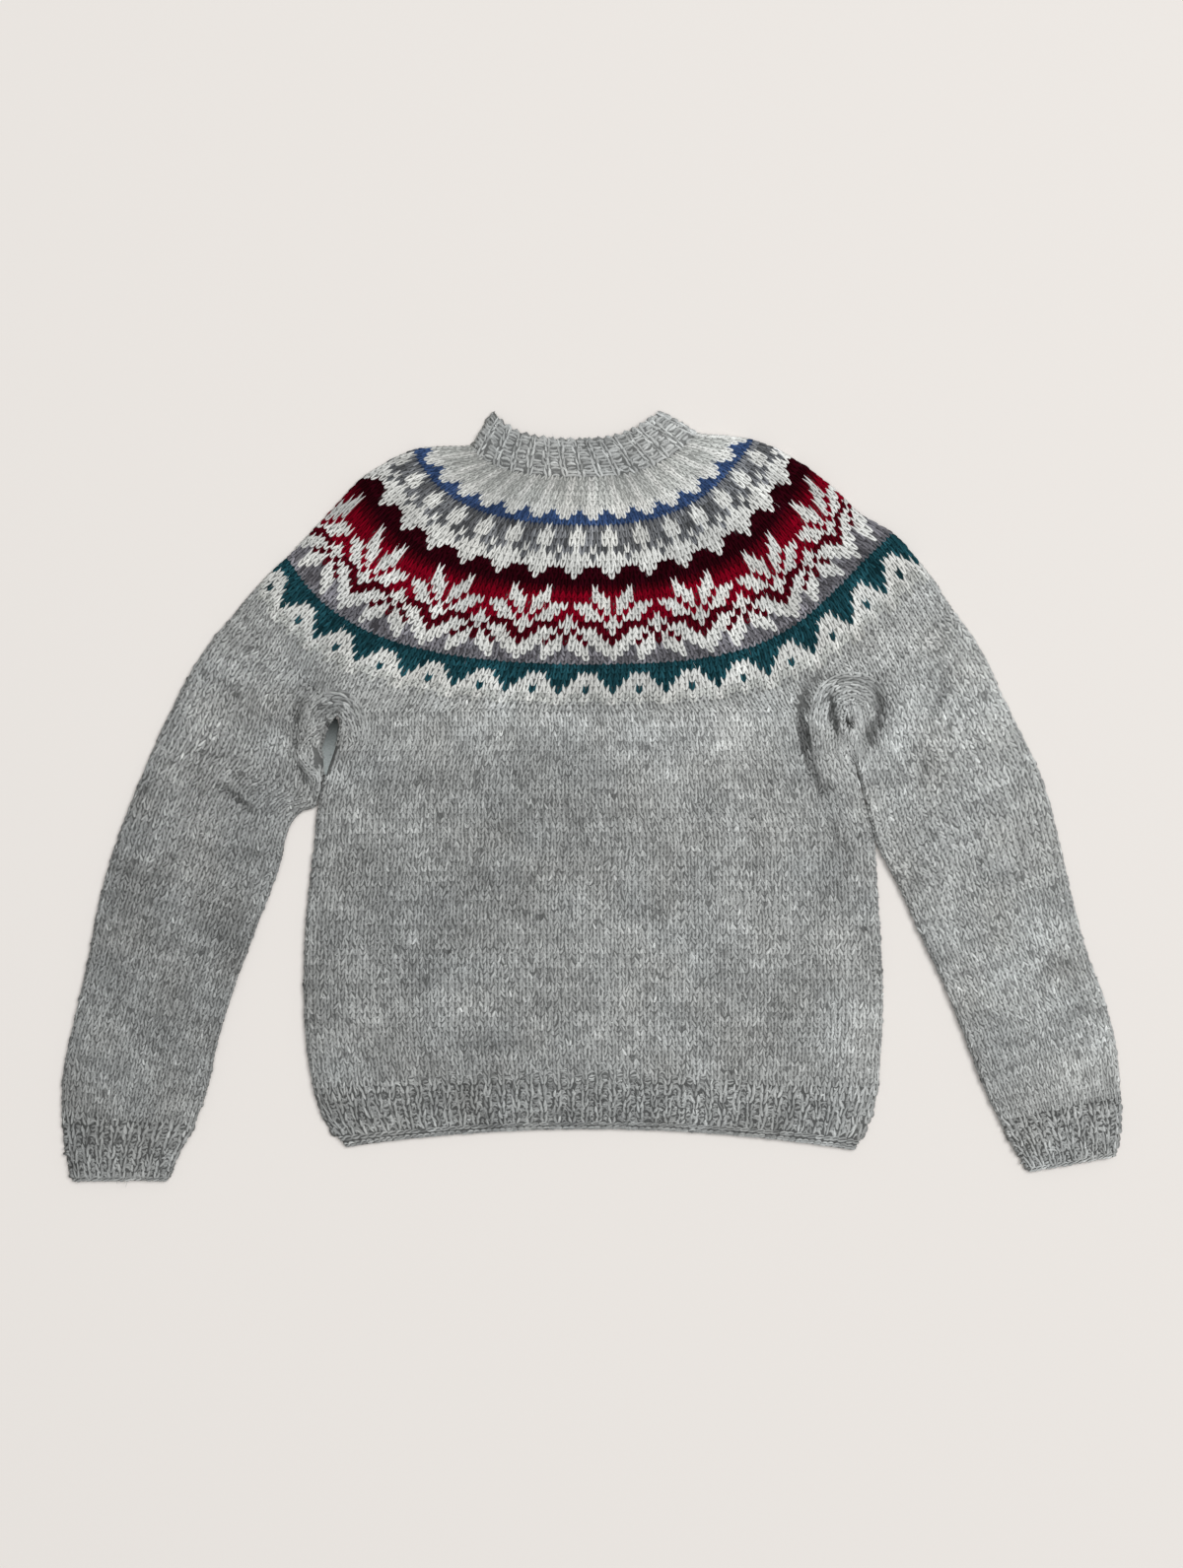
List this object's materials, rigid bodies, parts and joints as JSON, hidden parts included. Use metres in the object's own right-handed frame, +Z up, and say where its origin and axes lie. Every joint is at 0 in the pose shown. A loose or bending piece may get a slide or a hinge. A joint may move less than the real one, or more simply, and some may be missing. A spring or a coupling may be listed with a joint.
{
  "type": "nordic yoke sweater",
  "caption": "Hand-knit round-yoke wool sweater laid flat, front up, with a patterned yoke and ribbed hem, cuffs and collar. Rests on any flat surface.",
  "frame": {"origin": "under the middle of the laid garment's outline, on the surface it lies on", "axes": "+X across the garment from its left sleeve to its right one as seen from above, +Y from the hem to the neck, +Z up out of the front of the sweater"},
  "size_m": [0.9583, 0.6957, 0.0162],
  "materials": {
    "heather_wool": "matt marled light grey wool, stocking stitch",
    "rib_wool": "matt marled grey wool, one-by-one rib",
    "yoke_wool": "matt wool in stranded colours: grey, white, teal, red, maroon and blue"
  },
  "bodies": {
    "root": {"body": "heather_wool", "hem_rib": "rib_wool", "sleeve_left": "heather_wool", "sleeve_right": "heather_wool", "cuff_left": "rib_wool", "cuff_right": "rib_wool", "yoke": "yoke_wool", "collar": "rib_wool"}
  },
  "joints": []
}
